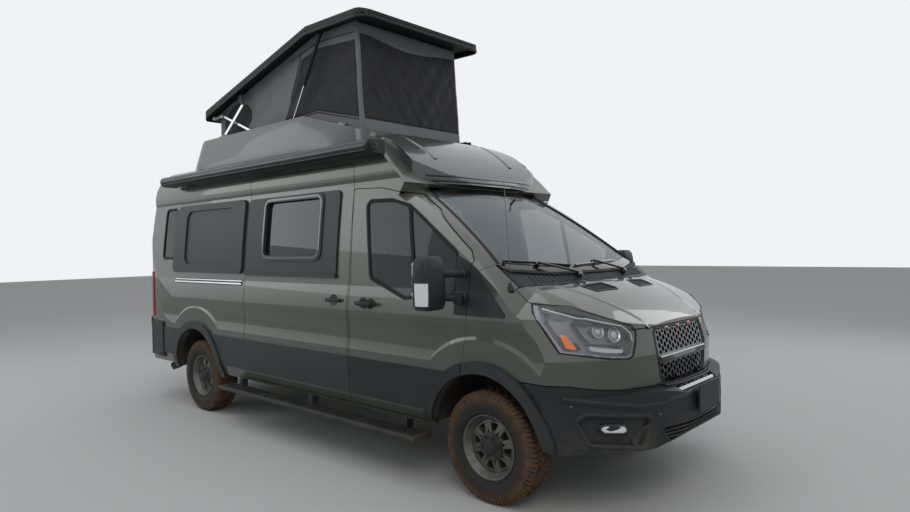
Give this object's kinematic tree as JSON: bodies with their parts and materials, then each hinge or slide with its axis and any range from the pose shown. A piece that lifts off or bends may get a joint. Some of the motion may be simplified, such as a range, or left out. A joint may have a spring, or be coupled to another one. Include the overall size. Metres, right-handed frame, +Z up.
{
  "type": "high-roof camper van with pop-top roof",
  "caption": "High-roof camper van on off-road tyres, its rear-hinged pop-top roof raised over a fabric tent, with opening doors and hood, steering and rolled-up awning.",
  "frame": {"origin": "on the ground, at the middle of the van's length and width", "axes": "+Z up, -Y towards the van's nose, +X towards its left (driver's) side"},
  "size_m": [2.692, 5.98, 3.5679],
  "materials": {
    "paint": "glossy",
    "black_plastic": "fine grain",
    "black_gloss": "polished",
    "lamp_body": "dark moulding round bright barrels",
    "lamp_lens": "clear cover",
    "tail_lens": "polished",
    "dark_glass": "tinted",
    "clear_glass": "light tint",
    "frame_paint": "satin",
    "cast_metal": "rough",
    "chassis_black": "satin",
    "cap_paint": "satin",
    "lid_black": "fine grain",
    "tent_cloth": "woven",
    "silver_metal": "satin",
    "black_paint": "powder coated",
    "steel_rod": "polished",
    "awning_case": "anodised dark grey",
    "dash_plastic": "soft grain",
    "seat_cloth": "woven",
    "furniture_board": "laminated",
    "tyre": "muddy at the shoulders",
    "rim_paint": "dull painted"
  },
  "bodies": {
    "van": {"body_shell": "paint", "sliding_door": "paint", "front_panels": "paint", "cowl": "black_plastic", "front_bumper": "black_plastic", "grille": "black_gloss", "front_lamps": "lamp_body", "lamp_covers": "lamp_lens", "tail_lamps": "tail_lens", "cladding": "black_plastic", "rear_bumper": "black_plastic", "side_glass": "dark_glass", "windscreen": "clear_glass", "floor_frame": "frame_paint", "wheel_houses": "chassis_black", "engine": "cast_metal", "front_suspension": "chassis_black", "rear_axle": "chassis_black", "hitch_receiver": "chassis_black", "hitch_beam": "chassis_black", "roof_cap": "cap_paint", "nose_cap": "black_gloss", "roof_unit": "black_plastic", "tent": "tent_cloth", "awning": "awning_case", "running_boards": "black_paint", "dashboard": "dash_plastic", "front_seats": "seat_cloth", "furniture": "furniture_board"},
    "hood": {"hood": "paint"},
    "front_door_left": {"front_door_left": "paint", "front_door_glass_left": "dark_glass", "front_door_trim_left": "black_plastic"},
    "front_door_right": {"front_door_right": "paint", "front_door_glass_right": "dark_glass", "front_door_trim_right": "black_plastic"},
    "rear_door_left": {"rear_door_left": "paint", "rear_door_glass_left": "dark_glass"},
    "rear_door_right": {"rear_door_right": "paint", "rear_door_glass_right": "dark_glass"},
    "knuckle_left": {"knuckle_left": "cast_metal"},
    "knuckle_right": {"knuckle_right": "cast_metal"},
    "steering_wheel": {"steering_wheel": "dash_plastic"},
    "lift_rail": {"lift_rail": "silver_metal"},
    "lift_arms": {"lift_arms": "silver_metal"},
    "lift_stays": {"lift_stays": "silver_metal"},
    "roof_lid": {"roof_lid": "lid_black"},
    "strut_cylinders": {"strut_cylinders": "black_paint"},
    "strut_rods": {"strut_rods": "steel_rod"},
    "wheel_front_left": {"tyre_front_left": "tyre", "rim_front_left": "rim_paint"},
    "wheel_front_right": {"tyre_front_right": "tyre", "rim_front_right": "rim_paint"},
    "wheel_rear_left": {"tyre_rear_left": "tyre", "rim_rear_left": "rim_paint"},
    "wheel_rear_right": {"tyre_rear_right": "tyre", "rim_rear_right": "rim_paint"}
  },
  "joints": [
    {"name": "wheel_spin_front_left", "type": "hinge", "parent": "knuckle_left", "child": "wheel_front_left", "pos_m": [0.87, -1.967, 0.356], "axis": [1, 0, 0], "continuous": true},
    {"name": "wheel_spin_front_right", "type": "hinge", "parent": "knuckle_right", "child": "wheel_front_right", "pos_m": [-0.87, -1.967, 0.356], "axis": [1, 0, 0], "continuous": true},
    {"name": "wheel_spin_rear_left", "type": "hinge", "parent": "van", "child": "wheel_rear_left", "pos_m": [0.87, 1.783, 0.356], "axis": [1, 0, 0], "continuous": true},
    {"name": "wheel_spin_rear_right", "type": "hinge", "parent": "van", "child": "wheel_rear_right", "pos_m": [-0.87, 1.783, 0.356], "axis": [1, 0, 0], "continuous": true},
    {"name": "steer_left", "type": "hinge", "parent": "van", "child": "knuckle_left", "pos_m": [0.79, -1.967, 0.356], "axis": [0, 0, 1], "range_deg": [-33, 33]},
    {"name": "steer_right", "type": "hinge", "parent": "van", "child": "knuckle_right", "pos_m": [-0.79, -1.967, 0.356], "axis": [0, 0, 1], "range_deg": [-33, 33]},
    {"name": "steering_wheel_turn", "type": "hinge", "parent": "van", "child": "steering_wheel", "pos_m": [0.47, -1.45, 1.19], "axis": [0, 0.8671, 0.4981], "range_deg": [-500, 500]},
    {"name": "front_door_left", "type": "hinge", "parent": "van", "child": "front_door_left", "pos_m": [1.062, -1.866, 1], "axis": [0, 0, -1], "range_deg": [0, 70]},
    {"name": "rear_door_left", "type": "hinge", "parent": "van", "child": "rear_door_left", "pos_m": [0.958, 2.976, 0.855], "axis": [0.0437, 0.0497, -0.9978], "range_deg": [0, 180]},
    {"name": "front_door_right", "type": "hinge", "parent": "van", "child": "front_door_right", "pos_m": [-1.062, -1.866, 1], "axis": [0, 0, 1], "range_deg": [0, 70]},
    {"name": "rear_door_right", "type": "hinge", "parent": "van", "child": "rear_door_right", "pos_m": [-0.958, 2.976, 0.855], "axis": [0.0437, -0.0497, 0.9978], "range_deg": [0, 180]},
    {"name": "hood_hinge", "type": "hinge", "parent": "van", "child": "hood", "pos_m": [0, -2.15, 1.412], "axis": [-1, 0, 0], "range_deg": [0, 50]},
    {"name": "lid_lift", "type": "slide", "parent": "van", "child": "lift_rail", "axis": [0, 0, 1], "range_m": [-0.245, 0], "deforming": ["tent"]},
    {"name": "lid_hinge", "type": "hinge", "parent": "lift_rail", "child": "roof_lid", "pos_m": [0, 2.05, 3.034], "axis": [1, 0, 0], "range_deg": [0, 14.3]},
    {"name": "arm_hinge", "type": "hinge", "parent": "van", "child": "lift_arms", "pos_m": [0, 1.93, 2.7], "axis": [1, 0, 0], "range_deg": [0, 35.9]},
    {"name": "stay_hinge", "type": "hinge", "parent": "lift_rail", "child": "lift_stays", "pos_m": [0, 1.85, 3.04], "axis": [1, 0, 0], "range_deg": [-16.5, 0]},
    {"name": "strut_hinge", "type": "hinge", "parent": "roof_lid", "child": "strut_cylinders", "pos_m": [0, 0.08, 3.51], "axis": [1, 0, 0], "range_deg": [0, 36.6]},
    {"name": "rod_slide", "type": "slide", "parent": "strut_cylinders", "child": "strut_rods", "axis": [0, 0.5402, -0.8415], "range_m": [-0.384, 0]}
  ],
  "couplings": [
    {"joint": "steer_right", "follows": "steer_left", "ratio": 1},
    {"joint": "steering_wheel_turn", "follows": "steer_left", "ratio": 15},
    {"joint": "lid_hinge", "follows": "lid_lift", "rad_per_m": -1.011},
    {"joint": "arm_hinge", "follows": "lid_lift", "rad_per_m": -2.543},
    {"joint": "stay_hinge", "follows": "lid_lift", "rad_per_m": 1.168},
    {"joint": "strut_hinge", "follows": "lid_lift", "rad_per_m": -2.594},
    {"joint": "rod_slide", "follows": "lid_lift", "ratio": 1.56}
  ]
}
